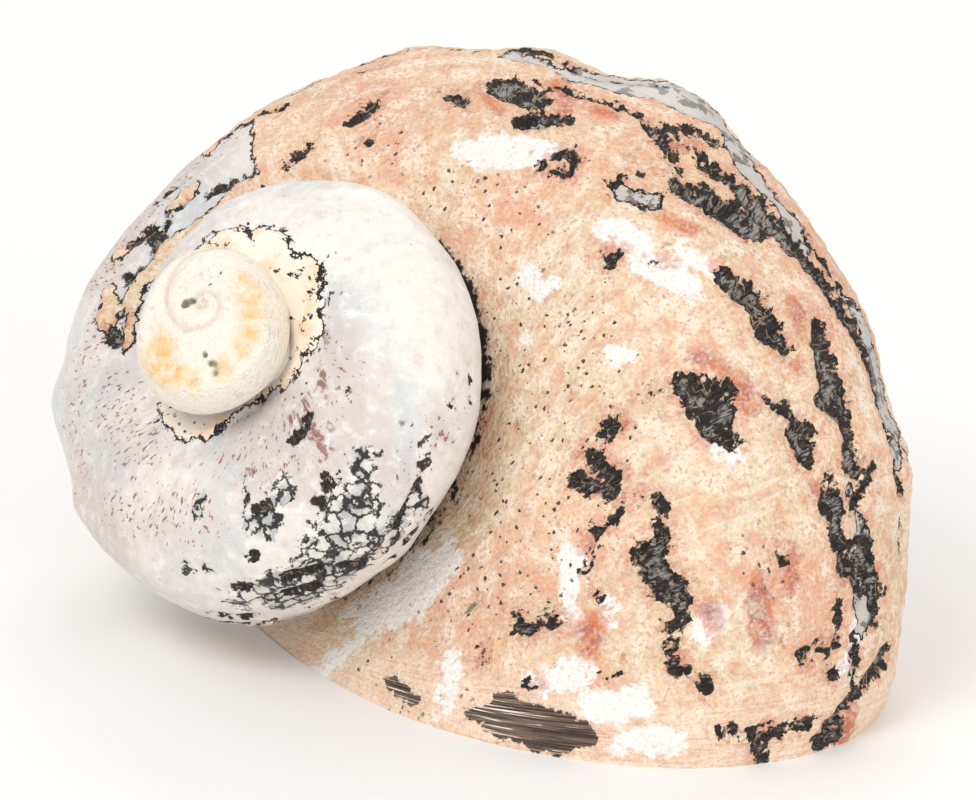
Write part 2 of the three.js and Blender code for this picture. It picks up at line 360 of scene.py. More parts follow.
# Everything the surface and its finish need to know, from where each point sits on the coil.
def surfaceFields(angle, turn, row, points, perRadian):
    degrees = np.degrees(angle)
    around = np.degrees(turn)
    perTurn = coil["radius"] * tubeScale(angle) + 0 * turn
    fields = {name: markDistance(degrees, around, perRadian, perTurn, pieces)
              for name, pieces in marks.items()}
    behind = ramp(around, *wear["backAround"])
    for seed, name in enumerate(("chalk", "pearl", "islands", "rust", "specks", "flakes")):
        fields[name] += (0.9 + 1.5 * behind) * cellNoise(points, 3.2, 40 + seed)
        fields[name] += 1.2 * behind * cellNoise(points, 1.5, 60 + seed)
    fields["chips"] += 1.5 * behind * cellNoise(points, 2.2, 70)
    worn = np.radians(degrees - wear["bareBefore"]) * perRadian + 1.5 * cellNoise(points, 7.0, 3)
    worn += 3.5 * cellNoise(points, 9.0, 50) * ramp(np.abs(around - wear["frontMiddle"]), 30, 60)
    pearl = np.minimum(worn, fields["pearl"])
    fields["pearl"] = np.maximum(pearl, -fields["islands"])
    collar = np.radians(np.interp(degrees, *zip(*collarEdge)) - around) * perTurn
    first, last = wear["collarSpan"]
    fields["collar"] = np.where((degrees > first) & (degrees < last), collar, wear["spotGap"])
    fields["apex"] = np.full(degrees.shape, wear["spotGap"])
    fields["grey"] = ramp(degrees, *wear["greySpan"])
    fields["mottle"] = cellNoise(points, 7.0, 21) + 0.5 * cellNoise(points, 3.6, 22)
    fields["wander"] = cellNoise(points, 15.0, 23) + 0.5 * cellNoise(points, 7.5, 24)
    fields["swell"] = swellHeight(degrees, around, perRadian, perTurn)
    fields["lip"] = -row * perRadian
    fields["touch"] = clearOfWhorl(angle, turn, 1)
    # how far a point stands past the reach of the painted suture shade and dark growth
    fields["seam"] = fields["touch"] - np.interp(degrees, *zip(*sutureShadeAndDirtReach))
    fields["growth"] = coil["outerReach"] * coil["radius"] / coil["growthRate"] * tubeScale(row) + 0 * turn
    fields["girth"] = np.abs(np.radians((around - 20 + 180) % 360 - 180)) * perTurn
    return fields


# Eases from 0 at one level to 1 at the other.
def ramp(value, low, high):
    share = np.clip((value - low) / (high - low), 0, 1)
    return share * share * (3 - 2 * share)


relief = {
    "crust": 0.40,             # millimetres the crust stands over the pearl
    "chip": 0.75,              # depth of the chips
    "collar": 0.55,            # thickness of the collar round the apex
    "flake": 0.25,
    "lump": 0.55,              # low swells left from the knobs
    "grit": 0.10,
    "growth": 0.07,
    "seam": 0.45,
    "lamella": 0.30,
    "pit": 0.50,
}


# Height in millimetres to push each outside point along the surface's own direction.
def surfaceHeight(fields, points, row):
    ragged = 0.45 * cellNoise(points, 1.6, 5) + 0.3 * cellNoise(points, 0.8, 6)
    crusted = ramp(fields["pearl"] + ragged, -0.3, 0.4)
    height = relief["crust"] * (crusted - 0.6)
    height -= relief["chip"] * ramp(-(fields["chips"] + 0.6 * ragged), -0.25, 0.7)
    height -= relief["lamella"] * ramp(-(fields["lamellae"] + ragged), -0.3, 0.8)
    height += relief["collar"] * ramp(-(fields["collar"] + 0.8 * ragged), -0.2, 0.5)
    height += relief["flake"] * ramp(-(fields["flakes"] + ragged), -0.3, 0.6) * cellNoise(points, 1.3, 9)
    lumps = cellNoise(points, 11.0, 1) + 0.5 * cellNoise(points, 5.5, 2)
    height += relief["lump"] * lumps
    height += relief["grit"] * crusted * (cellNoise(points, 0.9, 7) + cellNoise(points, 2.1, 8))
    lines = np.sin(fields["growth"] * 2.6 + 1.5 * cellNoise(points, 6.0, 4))
    height += relief["growth"] * lines * ramp(fields["touch"], 3.0, 9.0) * (0.25 + 0.75 * crusted)
    height -= relief["seam"] * ramp(-fields["touch"], -1.2, 0.2)
    height -= relief["pit"] * ramp(-fields["pits"], -0.1, 0.2)
    return height + fields.pop("swell")


# Coil angles of the rows behind the lip, close where the shell is large.
def rowAngles():
    rows = [0.0]
    while rows[-1] > meshing["start"]:
        size = coil["outerReach"] * coil["radius"] * float(tubeScale(rows[-1]))
        rows.append(rows[-1] - min(meshing["rowStep"] / size, meshing["youngStep"]))
    return np.array(rows[::-1])


# Outward direction at each point of a closed grid of rows.
def gridNormals(points):
    alongRows = np.gradient(points, axis=0)
    aroundTube = np.roll(points, -1, 1) - np.roll(points, 1, 1)
    normals = np.cross(aroundTube, alongRows)
    return normals / np.maximum(np.linalg.norm(normals, axis=-1, keepdims=True), 1e-9)


# Four-sided faces between the rows of a closed grid, where they are kept.
def gridFaces(rows, columns, keep, offset, flip=False):
    row, column = np.nonzero(keep)
    following = (column + 1) % columns
    corners = [row * columns + column, row * columns + following,
               (row + 1) * columns + following, (row + 1) * columns + column]
    faces = np.stack(corners[::-1] if flip else corners, -1)
    return faces + offset


def fillAttributes(data, fields):
    for name, values in fields.items():
        attribute = data.attributes.new(name, "FLOAT", "POINT")
        attribute.data.foreach_set("value", np.ascontiguousarray(values, dtype=np.float32).ravel())


def meshFrom(name, points, faces, fields, materials, faceMaterial):
    used = np.unique(faces)
    remap = np.full(len(points), -1)
    remap[used] = np.arange(len(used))
    data = bpy.data.meshes.new(name)
    data.from_pydata((points[used] / 1000).tolist(), [], remap[faces].tolist())
    for material in materials:
        data.materials.append(material)
    data.polygons.foreach_set("material_index", faceMaterial.astype(np.int32))
    data.polygons.foreach_set("use_smooth", np.ones(len(faces), bool))
    fillAttributes(data, {key: values[used] for key, values in fields.items()})
    data.update()
    piece = bpy.data.objects.new(name, data)
    bpy.context.scene.collection.objects.link(piece)
    return piece


# The outside of the coil, with what its finish reads. Faces inside another whorl are left out.
def outerWall():
    columns = meshing["columns"]
    turn = np.linspace(0, 2 * math.pi, columns, endpoint=False)
    lip = lipAngles(turn, 1.0)
    rows = rowAngles()
    # rows follow the lip on the last half turn, and even out behind it
    follow = ramp(rows, *meshing["lipFollow"])
    angle = rows[:, None] + follow[:, None] * lip[None, :]
    turnGrid = np.broadcast_to(turn, angle.shape)
    points, perRadian = tubePoint(angle, turnGrid)
    normals = gridNormals(points)
    fields = surfaceFields(angle, turnGrid, rows[:, None], points, perRadian)
    height = surfaceHeight(fields, points, rows[:, None])
    nearRim = ramp(points[..., 2] + coil["restDrop"] * coil["radius"], 0.0, 2.5)
    points = points + normals * (height * (0.25 + 0.75 * nearRim))[..., None]
    inner = fields["touch"] < -meshing["buried"]
    swallowed = clearOfWhorl(angle, turnGrid, -1) < -meshing["buried"]
    swallowed &= angle + 2 * math.pi < meshing["closedBefore"]
    underCap = (angle < math.radians(apexCap["covers"])) | coveredByCap(points, angle)
    hidden = inner | swallowed | underCap
    pairs = hidden[:-1] & hidden[1:]
    keep = ~(pairs & np.roll(pairs, -1, 1))
    return points, fields, keep


# The worn disc of the youngest whorls, in millimetres on the coil's own axes from the apex. On its
# face, across runs to the right and rise runs up.
apexCap = {
    "covers": -640,            # degrees of coil; everything older is under the disc
    "middle": (-0.60, -3.70, -8.1),
    "facing": (0.25, 0.03, 0.95),
    "radius": 8.4,
    "dome": 2.1,
    "face": 0.7,               # share of the rows on the face; the rest curl over the rim
    "flat": 0.76,              # share of the radius before the rim rounds over
    "hides": 300,              # degrees of coil behind the lip; the disc covers nothing younger
    "skirt": 2.5,
    "tuck": 150,               # degrees the rim curls over and under
    "cord": 0.50,              # height of the cord along the rim and the spiral
    "nucleus": (-0.2, 2.0),
    "spiralStart": 6.6,
    "spiralTighten": 0.27,
    "columns": 132,
    "rows": 62,
    # stains and pits: across, rise, radius
    "ochre": [(4.4, 3.6, 1.1), (5.2, 1.8, 1.0), (5.4, 0.0, 0.9), (5.0, -1.8, 0.8), (3.0, 5.2, 0.8),
              (-3.4, -4.4, 1.8), (-1.6, -5.6, 1.4), (0.6, -6.0, 0.8), (3.4, -4.2, 0.9), (-3.8, -2.4, 0.6)],
    "pits": [(2.2, -4.0, 0.5), (2.9, -4.9, 0.45), (1.5, -3.3, 0.25), (-2.0, 1.4, 0.45), (-1.3, 1.9, 0.25)],
    "pinholes": [(0.2, 3.3, 1.3), (0.9, 4.6, 0.8)],
}


# The disc's own axes, measured along the coil's.
def capFrame():
    facing = np.array(apexCap["facing"]) / np.linalg.norm(apexCap["facing"])
    skyward = standing[2] - facing * (standing[2] @ facing)
    skyward /= np.linalg.norm(skyward)
    return np.array([np.cross(skyward, facing), skyward, facing])


# Distance from a point of the disc to the nearest of a list of round spots, negative inside.
def spotDistance(across, rise, spots):
    return np.minimum.reduce([np.hypot(across - x, rise - y) - radius for x, y, radius in spots])


# Whether a point of the wall lies under the disc.
def coveredByCap(points, angle):
    placed = (points @ standing - np.array(apexCap["middle"])) @ capFrame().T
    within = np.hypot(placed[..., 0], placed[..., 1]) < 0.9 * apexCap["radius"]
    return within & (angle < -math.radians(apexCap["hides"])) & (placed[..., 2] > -6)


# The disc, from its middle over the rim and under.
def capWall():
    around = np.linspace(0, 2 * math.pi, apexCap["columns"], endpoint=False)[None, :]
    share = np.linspace(0, 1, apexCap["rows"])[:, None]
    inward = np.minimum(share / apexCap["face"], 1)
    over = np.clip((share - apexCap["face"]) / (1 - apexCap["face"]), 0, 1) * math.radians(apexCap["tuck"])
    reach = apexCap["radius"] * (apexCap["flat"] * inward + (1 - apexCap["flat"]) * np.sin(over))
    outline = 1 - 0.045 * np.cos(2 * around) + 0.02 * np.sin(3 * around + 2.0)
    across = reach * outline * np.cos(around)
    rise = reach * outline * np.sin(around)
    height = apexCap["dome"] * (1 - (reach / apexCap["radius"]) ** 2) - apexCap["skirt"] * (1 - np.cos(over))
    x, y = across - apexCap["nucleus"][0], rise - apexCap["nucleus"][1]
    heading = np.mod(np.arctan2(y, x) - math.pi / 2, 2 * math.pi)
    groove = np.full(height.shape, wear["spotGap"])
    for turns in (0, 1):
        wound = apexCap["spiralStart"] * np.exp(-apexCap["spiralTighten"] * (heading + 2 * math.pi * turns))
        groove = np.minimum(groove, np.abs(np.hypot(x, y) - wound))
    height = height - 0.30 * np.exp(-(groove / 0.45) ** 2) + 0.18 * np.exp(-((groove - 1.1) / 0.7) ** 2)
    height += apexCap["cord"] * np.exp(-((reach - 0.84 * apexCap["radius"]) / 0.85) ** 2)
    points = np.stack([across, rise, height + 0 * around], -1)
    height = 0.12 * cellNoise(points, 1.7, 31) + 0.2 * cellNoise(points, 3.3, 32)
    pits = spotDistance(across, rise, apexCap["pits"]) + 0.25 * cellNoise(points, 0.8, 33)
    height -= 0.6 * ramp(-pits, -0.2, 0.5)
    points[..., 2] += height
    coilPoints = points @ capFrame() + np.array(apexCap["middle"])
    fields = {"apex": np.full(height.shape, -4.0), "pits": pits,
              "ochre": spotDistance(across, rise, apexCap["ochre"]),
              "pinholes": spotDistance(across, rise, apexCap["pinholes"]),
              "mottle": cellNoise(points, 4.0, 34), "wander": cellNoise(points, 6.0, 35),
              "groove": groove, "growth": reach + 0 * around, "girth": 3 * heading}
    return coilPoints @ standing.T, fields


# The lining of the mouth's cavity.
def boreWall():
    columns = meshing["boreColumns"]
    turn = np.linspace(0, 2 * math.pi, columns, endpoint=False)
    lip = lipAngles(turn, coil["boreRatio"])
    rows = np.linspace(meshing["boreStart"], 0, meshing["boreRows"])
    angle = rows[:, None] + ramp(rows, *meshing["boreFollow"])[:, None] * lip[None, :]
    turnGrid = np.broadcast_to(turn, angle.shape)
    return tubePoint(angle, turnGrid, coil["boreRatio"])[0]


# The flat edge of the mouth, from the outside's last row to the bore's.
def rimStrip(outside, bore):
    share = np.arange(len(outside)) / len(outside) * len(bore)
    low = np.floor(share).astype(int) % len(bore)
    part = (share - np.floor(share))[:, None]
    inside = bore[low] * (1 - part) + bore[(low + 1) % len(bore)] * part
    steps = np.linspace(0, 1, meshing["rimRows"])[:, None, None]
    return outside[None] * (1 - steps) + inside[None] * steps


# The callus pads and the pillar: closed lumps, cut level with the resting face.
pads = {
    "base": {"centre": (0.81, 1.06, -1.36), "half": (0.62, 0.33, 0.46), "turn": 0.6},
    "corner": {"centre": (0.51, 0.76, -1.40), "half": (0.26, 0.27, 0.24), "turn": 0.0},
}


def padPoints(pad, columns=52, rows=28):
    polar = np.linspace(0.001, math.pi - 0.001, rows)[:, None]
    around = np.linspace(0, 2 * math.pi, columns, endpoint=False)[None, :]
    ball = np.stack([np.sin(polar) * np.cos(around), np.sin(polar) * np.sin(around),
                     np.cos(polar) + 0 * around], -1) * np.array(pad["half"])
    spin = np.array(Matrix.Rotation(-pad["turn"], 3, "Z"))
    points = (ball @ spin + np.array(pad["centre"])) * coil["radius"]
    points += 0.35 * cellNoise(points, 5.0, 12)[..., None] * ball
    points[..., 2] = np.maximum(points[..., 2], -coil["restDrop"] * coil["radius"] + 0.02)
    return points


# Radius and height of the pillar along the coil's axis, in coil radii.
pillar = [(0, -0.44), (0.17, -0.46), (0.22, -0.6), (0.13, -1.1), (0.13, -1.7),
          (0.1, -2.1), (0, -2.15)]


def pillarPoints(columns=32):
    heights = np.linspace(pillar[0][1], pillar[-1][1], 40)
    radii = np.interp(-heights, [-pair[1] for pair in pillar], [pair[0] for pair in pillar])
    around = np.linspace(0, 2 * math.pi, columns, endpoint=False)[None, :]
    points = np.stack([radii[:, None] * np.cos(around), radii[:, None] * np.sin(around),
                       heights[:, None] + 0 * around], -1) * coil["radius"]
    points += 0.25 * cellNoise(points, 2.0, 14)[..., None]
    return points @ standing.T


# An sRGB hex colour as linear light.
def linear(hexColour):
    parts = [int(hexColour[i:i + 2], 16) / 255 for i in (1, 3, 5)]
    return tuple(part / 12.92 if part <= 0.04045 else ((part + 0.055) / 1.055) ** 2.4
                 for part in parts) + (1.0,)


# Adds a node with its settings. Each input is a value, a hex colour, or the node that feeds it.
def addNode(tree, kind, settings, inputs):
    node = tree.nodes.new(kind)
    for name, value in settings.items():
        setattr(node, name, value)
    for key, value in inputs.items():
        output = 0
        if isinstance(value, tuple) and hasattr(value[0], "outputs"):
            value, output = value
        if hasattr(value, "outputs"):
            tree.links.new(value.outputs[output], node.inputs[key])
        else:
            node.inputs[key].default_value = linear(value) if isinstance(value, str) else value
    return node


# A new material, its empty node tree, and the place of each point in metres.
def startMaterial(name):
    material = bpy.data.materials.new(name)
    material.use_nodes = True
    tree = material.node_tree
    tree.nodes.clear()
    return material, tree, (addNode(tree, "ShaderNodeTexCoord", {}, {}), "Object")


# Every field the wall's finish reads, with the value that leaves it out.
fieldDefaults = {
    "pearl": 9.0, "chips": 9.0, "chalk": 9.0, "rust": 9.0, "collar": 9.0, "apex": 9.0, "flakes": 9.0,
    "lamellae": 9.0, "seam": 9.0, "lip": 30.0, "growth": 0.0, "girth": 0.0, "pinholes": 9.0,
    "specks": 9.0, "pits": 9.0, "ochre": 9.0, "mottle": 0.0, "wander": 0.0, "groove": 9.0,
    "grey": 0.0,
}


# The finish of the wall. A mask names a pattern, a field or an edge, alone or with the two levels
# it runs between and the share it has at each. A coat is a colour and the masks that keep it in
# its place.
shellFinish = {
    "colours": {
        "peach": "#efcca8", "salmon": "#e4ac8d", "sand": "#e2cba6", "cream": "#faebd9", "blush": "#dcae9b",
        "umber": "#b88a68", "chalk": "#f8f3ed", "lipCream": "#f3dcc6", "rust": "#cf6a3a", "madder": "#a85f62",
        "pearl": "#e0dad4", "pearlBlue": "#c9cccd", "pearlWarm": "#e9e2da", "pearlLilac": "#cdbcb4",
        "pearlGreen": "#d0d0c2", "pearlGrey": "#b8b0a8", "fleck": "#8c4a34", "blot": "#7c3f2a",
        "bark": "#1c1817", "barkBrown": "#4d4038", "barkGrey": "#a29c97", "swirl": "#a8957f",
        "lamella": "#7f6858", "lamellaDark": "#3c2e27", "collar": "#f2e4d2", "ochre": "#ecc07c",
        "apex": "#f4eadb", "pit": "#8c8670", "flake": "#dedad0", "flakeGrey": "#b4b6b6", "crack": "#221b1c",
    },
    # size in millimetres, detail, roughness, distortion
    "patterns": {
        "blotch": (2.4, 4, 0.6, 0.3),
        "ragged": (1.5, 4, 0.65, 0.0),
        "grain": (0.42, 2, 0.6, 0.0),        # real coralline grain is finer; drawn coarse enough to show
        "swirl": (4.6, 2, 0.5, 2.4),
    },
    # lines to a millimetre along the tube and around it, size, detail, roughness, distortion
    "streaks": {
        "streak": (0.9, 0.16, 1.0, 3, 0.62, 0.5),
        "fibre": (2.6, 0.55, 1.0, 3, 0.62, 1.4),
        "lipLines": (3.0, 0.06, 1.0, 2, 0.62, 0.0),
        "lamellaLines": (3.4, 0.10, 1.0, 2, 0.62, 0.6),
        "flecks": (1.0, 0.6, 0.52, 2, 0.6, 0.0),
    },
    # what is measured, size in millimetres, how far the cells wobble in metres
    "cells": {
        "flakeCells": ("DISTANCE_TO_EDGE", 1.7, (0.0026, 0.0026, 0.0010)),
        "holeCells": ("F1", 0.9, (0.0012, 0.0012, 0.0008)),
    },
    # field, then raggedness, softness and growth of its edge in millimetres
    "edges": {
        "bare": ("pearl", 3.0, 0.08, 0.0),
        "bareSlope": ("pearl", 3.0, 0.20, 0.0),
        "bareGloss": ("pearl", 3.0, 0.12, 0.0),
        "bareOuter": ("pearl", 3.0, 0.05, 0.16),
        "bareInner": ("pearl", 3.0, 0.05, -0.16),
        "collarTop": ("collar", 5.0, 0.08, 0.0),
        "collarSlope": ("collar", 5.0, 0.20, 0.0),
        "collarOuter": ("collar", 5.0, 0.05, 0.26),
        "collarInner": ("collar", 5.0, 0.05, -0.26),
        "chipFloor": ("chips", 4.0, 0.07, -0.06),
        "chipCore": ("chips", 4.0, 0.15, -0.80),
        "chipHalo": ("chips", 4.0, 0.5, 1.2),
        "chalkPatch": ("chalk", 5.0, 0.30, 0.0),
        "rustStain": ("rust", 4.5, 0.45, 0.0),
        "rustBlot": ("rust", 5.0, 0.25, -0.3),
        "flecked": ("specks", 5.0, 2.5, 0.0),
        "flaky": ("flakes", 7.0, 0.10, 0.0),
        "layered": ("lamellae", 3.0, 0.10, 0.0),
        "ochreStain": ("ochre", 3.0, 1.0, 0.0),
        # the suture's edge, where painted crevice shade with some dark growth goes
        "seamDirt": ("seam", 2.2, 0.10, 0.05),
        "crowded": ("pinholes", 7.0, 1.2, 0.0),
        "pitFloor": ("pits", 0.8, 0.12, 0.0),
    },
    # a thin line where a pattern passes a level
    "lines": {"vein": ("blotch", 0.505), "swirlLine": ("swirl", 0.5)},
    # a crisp spot where the first is over the second, and how steep its edge is
    "spots": {
        "fleck": ("flecks", ("flecked", 0, 1, 0.72, 0.58), 25.0),
        "flakeFace": ("flakeCells", ("blotch", 0.40, 0.62, 0.02, 0.11), 14.0),
        "pinhole": (("holeColour", 0.32, 0.62, 0.0, 0.26), "holeCells", 22.0),
        "bareRim": ("bareOuter", "bareInner", 1.0),
        "collarRim": ("collarOuter", "collarInner", 1.0),
    },
    # the ground colour, then the coats over it in order
    "layers": {
        # rust running into madder
        "rusty": ["rust", ("madder", ("blotch", 0.42, 0.58))],
        # coralline crust: broad tones, then blotches, then gritty speckle, the lip's lines and stains
        "crust": [
            "peach",
            ("sand", ("mottle", -0.5, 0.5)),
            ("salmon", ("wander", 0.15, 0.6, 0, 0.7)),
            ("cream", ("blotch", 0.52, 0.57, 0, 0.60)),
            ("salmon", ("blotch", 0.47, 0.36, 0, 0.80)),
            ("blush", ("ragged", 0.54, 0.60, 0, 0.55)),
            ("chalk", ("vein", 0.010, 0.0, 0, 0.5)),
            ("umber", ("grain", 0.58, 0.62), ("blotch", 0.50, 0.58, 0, 0.4)),
            ("umber", ("ragged", 0.42, 0.30), ("mottle", -0.6, 0.4, 0, 0.65)),
            ("cream", ("streak", 0.52, 0.66), ("wander", 0.3, -0.1, 0, 0.5)),
            ("lipCream", ("lip", 9.0, 6.0), ("lipLines", 0.40, 0.60, 0.2, 0.75)),
            ("blush", ("lip", 9.0, 6.0), ("lipLines", 0.42, 0.34, 0, 0.6)),
            ("chalk", "chalkPatch", ("ragged", 0.34, 0.42, 0.75, 1.0)),
            ("rusty", "rustStain", ("ragged", 0.36, 0.56, 0.35, 0.9)),
            ("rust", "chipHalo", ("blotch", 0.50, 0.55, 0, 0.5)),
            ("umber", ("grain", 0.52, 0.74, 0, 0.30), "MULTIPLY"),
            ("cream", ("grain", 0.44, 0.30, 0, 0.45)),
        ],
        # mother-of-pearl: broad cool and warm tones, milky spots, then rusty flecks and blots
        "nacre": [
            "pearl",
            ("pearlBlue", ("mottle", -0.4, 0.6)),
            ("pearlWarm", ("wander", -0.1, 0.5)),
            ("pearlLilac", ("wander", -0.15, -0.6, 0, 0.7)),
            ("pearlGreen", ("blotch", 0.54, 0.72, 0, 0.45)),
            ("chalk", ("streak", 0.48, 0.70, 0, 0.25)),
            ("chalk", ("ragged", 0.52, 0.66, 0, 0.5)),
            ("pearlLilac", ("ragged", 0.46, 0.34, 0, 0.45)),
            ("pearlLilac", "flecked", ("streak", 0.42, 0.62, 0.15, 0.7)),
            ("pearlGrey", "grey", 0.75),
            ("barkBrown", "grey", ("blotch", 0.54, 0.58, 0, 0.75)),
            ("fleck", "fleck", 0.85),
            ("blot", "rustBlot", ("streak", 0.46, 0.50, 0, 0.8)),
        ],
        # the worn disc of young whorls, and the collar round it
        "disc": [
            "apex",
            ("ochre", "ochreStain", ("blotch", 0.34, 0.50, 0.2, 1)),
            ("umber", ("groove", 0.40, 0.0, 0, 0.32)),
            ("pearlLilac", ("ragged", 0.56, 0.7, 0, 0.5)),
        ],
        "cuff": ["collar", ("peach", ("blotch", 0.5, 0.6, 0, 0.7)), ("crack", ("ragged", 0.60, 0.63))],
        # flakes with dark cracks between
        "flakeTone": ["flake", ("flakeGrey", ("blotch", 0.44, 0.56))],
        "flakes": ["crack", ("flakeTone", "flakeFace")],
        # the dark fibrous layer, with grey pearl in the deep chips and pale layers curling through
        "greyCore": ["bark", ("barkGrey", ("fibre", 0.40, 0.52))],
        "broken": [
            "bark",
            ("barkBrown", ("fibre", 0.47, 0.62)),
            ("greyCore", "chipCore", ("blotch", 0.48, 0.52)),
            ("swirl", ("swirlLine", 0.030, 0.012, 0, 0.85), ("ragged", 0.46, 0.52)),
        ],
        "leaves": [
            "lamellaDark",
            ("lamella", ("lamellaLines", 0.42, 0.56)),
            ("cream", ("lamellaLines", 0.60, 0.64)),
        ],
        # everything in its place, with painted shade and some dark growth in the suture, bore holes and
        # drilled pits last
        "skin": [
            "crust",
            ("nacre", "bare"),
            ("disc", ("apex", 0.1, -0.1)),
            ("cuff", "collarTop"),
            ("flakes", "flaky"),
            ("crack", "bareRim", ("blotch", 0.38, 0.42)),
            ("crack", "collarRim", ("blotch", 0.38, 0.42)),
            ("broken", "chipFloor"),
            ("leaves", "layered"),
            # painted shade in the suture crevice, with some dark growth, in the crack colour
            ("crack", "seamDirt"),
            ("barkBrown", "pinhole", "crowded"),
            ("pit", "pitFloor"),
        ],
    },
    # height in millimetres, then what it follows
    "heights": [
        (0.30, "crusty"),
        (0.42, "grain", ("crusty", 0, 1, 0.10, 1)),
        (0.60, "blotch", ("crusty", 0, 1, 0.25, 1)),
        (0.35, "ragged", ("crusty", 0, 1, 0.15, 1)),
        (0.35, "collarSlope"),
        (-0.60, "chipFloor"),
        (0.75, "fibre", "chipFloor"),
    ],
    "bumpStrength": 0.8,
    "crustRoughness": 0.74,
    "pearlRoughness": 0.30,
    "apexGloss": 0.6,
    "chipRoughness": 0.62,
    "grainRoughness": 0.15,
    "ior": 1.53,
}


# A beach-worn turban shell wall: chalky coralline crust over mother-of-pearl. The crust is matt and
# mottled, the pearl is smooth with a soft sheen, and broken edges show dark fibrous layers.
def shellMaterial():
    look = shellFinish
    material, tree, where = startMaterial("wornShellWall")
    mathKind, rangeKind, vectorKind = "ShaderNodeMath", "ShaderNodeMapRange", "ShaderNodeVectorMath"
    known = {name: (addNode(tree, "ShaderNodeAttribute", {"attribute_name": name}, {}), "Fac")
             for name in fieldDefaults}
    colours = dict(look["colours"])

    # the product of some masks
    def share(*masks):
        product = None
        for mask in masks:
            if isinstance(mask, tuple):
                name, low, high, bottom, top = mask if len(mask) == 5 else mask + (0.0, 1.0)
                mask = addNode(tree, rangeKind, {}, {0: known[name], 1: low, 2: high, 3: bottom, 4: top})
            elif isinstance(mask, str):
                mask = known[mask]
            if product is not None:
                mask = addNode(tree, mathKind, {"operation": "MULTIPLY"}, {0: product, 1: mask})
            product = mask
        return product

    # a ground colour with its coats over it; each is a hex colour or a layer made before
    def painted(ground, coats):
        colour = colours[ground]
        for over, *masks in coats:
            blend = masks.pop() if masks[-1] == "MULTIPLY" else "MIX"
            mix = addNode(tree, "ShaderNodeMix", {"data_type": "RGBA", "blend_type": blend},
                          {0: share(*masks), 6: colour, 7: colours[over]})
            colour = (mix, 2)
        return colour

    for name, (size, detail, roughness, distortion) in look["patterns"].items():
        known[name] = addNode(tree, "ShaderNodeTexNoise", {},
                              {"Vector": where, "Scale": 1000 / size, "Detail": detail,
                               "Roughness": roughness, "Distortion": distortion})

    # growth streaks: long around the tube, fine along it
    streakPlace = addNode(tree, "ShaderNodeCombineXYZ", {}, {0: known["growth"], 1: known["girth"]})
    for name, (along, around, size, detail, roughness, distortion) in look["streaks"].items():
        place = addNode(tree, vectorKind, {"operation": "MULTIPLY"}, {0: streakPlace, 1: (along, around, 0)})
        known[name] = addNode(tree, "ShaderNodeTexNoise", {},
                              {"Vector": place, "Scale": 1 / size, "Detail": detail,
                               "Roughness": roughness, "Distortion": distortion})

    wobble = addNode(tree, "ShaderNodeCombineXYZ", {},
                     {0: known["ragged"], 1: known["blotch"], 2: known["grain"]})
    for name, (feature, size, reach) in look["cells"].items():
        place = addNode(tree, vectorKind, {"operation": "MULTIPLY_ADD"}, {0: wobble, 1: reach, 2: where})
        known[name] = addNode(tree, "ShaderNodeTexVoronoi", {"feature": feature},
                              {"Vector": place, "Scale": 1000 / size})
    known["holeColour"] = (known["holeCells"], "Color")

    # distance in millimetres with a ragged edge, then a mask that is 1 inside
    for name, (field, raggedness, softness, growth) in look["edges"].items():
        edge = addNode(tree, mathKind, {"operation": "MULTIPLY_ADD"},
                       {0: known["ragged"], 1: raggedness, 2: known[field]})
        middle = 0.5 * raggedness + growth
        known[name] = addNode(tree, rangeKind, {}, {0: edge, 1: middle + softness, 2: middle - softness})

    for name, (pattern, level) in look["lines"].items():
        away = addNode(tree, mathKind, {"operation": "SUBTRACT"}, {0: known[pattern], 1: level})
        known[name] = addNode(tree, mathKind, {"operation": "ABSOLUTE"}, {0: away})
    for name, (over, under, steepness) in look["spots"].items():
        gap = addNode(tree, mathKind, {"operation": "SUBTRACT"}, {0: share(over), 1: share(under)})
        known[name] = addNode(tree, mathKind, {"operation": "MULTIPLY", "use_clamp": True},
                              {0: gap, 1: steepness})
    known["crusty"] = addNode(tree, mathKind, {"operation": "SUBTRACT"}, {0: 1.0, 1: known["bareSlope"]})

    for name, (ground, *coats) in look["layers"].items():
        colours[name] = painted(ground, coats)

    height = 0.0
    for amount, *masks in look["heights"]:
        height = addNode(tree, mathKind, {"operation": "MULTIPLY_ADD"},
                         {0: share(*masks), 1: amount, 2: height})
    bump = addNode(tree, "ShaderNodeBump", {},
                   {"Height": height, "Strength": look["bumpStrength"], "Distance": 0.001})

    known["smooth"] = addNode(tree, mathKind, {"operation": "MAXIMUM"},
                              {0: known["bareGloss"], 1: share(("apex", 0.1, -0.1, 0, look["apexGloss"]))})
    wall = share(("smooth", 0, 1, look["crustRoughness"], look["pearlRoughness"]))
    chips = share(("chipFloor", 0, 1, 0, look["chipRoughness"]))
    roughness = addNode(tree, mathKind, {"operation": "MAXIMUM"}, {0: wall, 1: chips})
    roughness = addNode(tree, mathKind, {"operation": "MULTIPLY_ADD", "use_clamp": True},
                        {0: known["grain"], 1: look["grainRoughness"], 2: roughness})
    surface = addNode(tree, "ShaderNodeBsdfPrincipled", {},
                      {"Base Color": colours["skin"], "Roughness": roughness, "Normal": bump,
                       "IOR": look["ior"]})
    addNode(tree, "ShaderNodeOutputMaterial", {}, {"Surface": surface})
    return material


mouthFinish = {
    "pearl": "#e4dfdb",
    "pink": "#e3cfcc",
    "green": "#cfd9cf",
    "callus": "#f2ece2",
    "bandMm": 9.0,
    "fineMm": 1.2,
    "layerMm": 2.0,
    "ior": 1.53,
    "liningRoughness": (0.18, 0.34),
    "callusRoughness": (0.35, 0.55),
}


